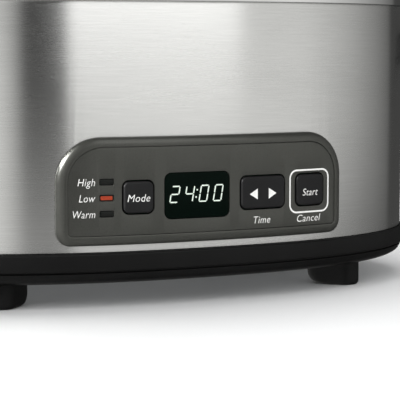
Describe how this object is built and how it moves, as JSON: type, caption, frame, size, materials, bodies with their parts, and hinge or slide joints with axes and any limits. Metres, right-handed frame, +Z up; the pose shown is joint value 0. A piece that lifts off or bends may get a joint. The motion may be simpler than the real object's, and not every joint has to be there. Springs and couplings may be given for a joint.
{
  "type": "slow cooker",
  "caption": "Oval countertop slow cooker with a brushed shell, lift-out crock, domed glass lid and a push-button timer panel.",
  "frame": {"origin": "on the worktop, under the middle of the body", "axes": "+Z up, front with the control panel towards -Y, +X to the right seen from the front, along the oval's length"},
  "size_m": [0.39, 0.2296, 0.2211],
  "materials": {
    "brushed_steel": "vertical-sided brushed stainless",
    "polished_steel": "polished stainless trim",
    "zinc_plated": "zinc-plated sheet and fasteners",
    "black_plastic": "semi-gloss black moulding",
    "black_rubber": "matt black",
    "gunmetal_paint": "gunmetal painted moulding, satin",
    "key_rubber": "dark grey key, matt",
    "black_glaze": "glazed stoneware, opaque",
    "clear_glass": "tempered glass",
    "display_lens": "smoked green-black display lens",
    "amber_lens": "lit orange-red indicator",
    "smoked_lens": "unlit indicator",
    "circuit_board": "green circuit board",
    "mica": "mica heater band",
    "fibre_wool": "pressed fibre insulation",
    "silicone": "translucent grey silicone",
    "white_insulation": "white wire insulation",
    "red_insulation": "red wire insulation",
    "component_case": "moulded component cases"
  },
  "bodies": {
    "housing": {"base_ring": "black_plastic", "base_plate": "zinc_plated", "foot_front_left": "black_rubber", "foot_front_right": "black_rubber", "foot_rear_left": "black_rubber", "foot_rear_right": "black_rubber", "housing_shell": "brushed_steel", "top_rim": "polished_steel", "inner_liner": "zinc_plated", "heater_band": "mica", "heater_strap": "zinc_plated", "insulation_wrap": "fibre_wool", "support_bracket": "zinc_plated", "centre_bolt": "zinc_plated", "centre_nut": "zinc_plated", "handle_left": "black_plastic", "handle_right": "black_plastic", "handle_left_screw_front": "zinc_plated", "handle_left_screw_rear": "zinc_plated", "handle_right_screw_front": "zinc_plated", "handle_right_screw_rear": "zinc_plated", "cord_gland": "black_plastic", "gland_nut": "black_plastic", "panel_bezel": "gunmetal_paint", "panel_fascia": "gunmetal_paint", "display_window": "display_lens", "display_module": "component_case", "high_indicator": "smoked_lens", "low_indicator": "amber_lens", "warm_indicator": "smoked_lens", "mode_switch": "component_case", "start_switch": "component_case", "time_down_switch": "component_case", "time_up_switch": "component_case", "control_board": "circuit_board", "power_board": "circuit_board", "relay": "component_case", "terminal_block": "black_plastic", "transformer": "zinc_plated", "thermal_fuse": "silicone", "temperature_sensor": "zinc_plated", "heater_lead_live": "red_insulation", "heater_lead_neutral": "white_insulation", "sensor_lead": "white_insulation", "ribbon_cable": "white_insulation"},
    "crock": {"crock": "black_glaze"},
    "lid": {"lid_glass": "clear_glass", "lid_band": "polished_steel", "steam_vent": "polished_steel", "lid_knob": "black_plastic", "knob_cap": "polished_steel", "knob_washer": "silicone", "knob_screw": "polished_steel"},
    "mode_key": {"mode_button": "key_rubber", "mode_switch_stem": "key_rubber"},
    "start_key": {"start_button": "key_rubber", "start_switch_stem": "key_rubber"},
    "time_key": {"time_rocker": "key_rubber"},
    "time_down_plunger": {"time_down_stem": "key_rubber"},
    "time_up_plunger": {"time_up_stem": "key_rubber"}
  },
  "joints": [
    {"name": "crock_lift", "type": "slide", "parent": "housing", "child": "crock", "axis": [0, 0, 1], "range_m": [0, 0.16]},
    {"name": "lid_lift", "type": "slide", "parent": "crock", "child": "lid", "axis": [0, 0, 1], "range_m": [0, 0.1]},
    {"name": "mode_press", "type": "slide", "parent": "housing", "child": "mode_key", "axis": [0, 1, 0], "range_m": [0, 0.0006], "stiffness_N_per_m": 2500},
    {"name": "start_press", "type": "slide", "parent": "housing", "child": "start_key", "axis": [0, 1, 0], "range_m": [0, 0.0006], "stiffness_N_per_m": 2500},
    {"name": "time_rock", "type": "hinge", "parent": "housing", "child": "time_key", "pos_m": [0.0282, -0.10837, 0.0554], "axis": [0, 0, 1], "range_deg": [-3.5, 3.5], "stiffness_Nm_per_rad": 0.16},
    {"name": "time_down_push", "type": "slide", "parent": "housing", "child": "time_down_plunger", "axis": [0, 1, 0], "range_m": [-0.0005, 0.0005]},
    {"name": "time_up_push", "type": "slide", "parent": "housing", "child": "time_up_plunger", "axis": [0, 1, 0], "range_m": [-0.0005, 0.0005]}
  ],
  "couplings": [
    {"joint": "time_down_push", "follows": "time_rock", "m_per_rad": -0.0065},
    {"joint": "time_up_push", "follows": "time_rock", "m_per_rad": 0.0065}
  ]
}
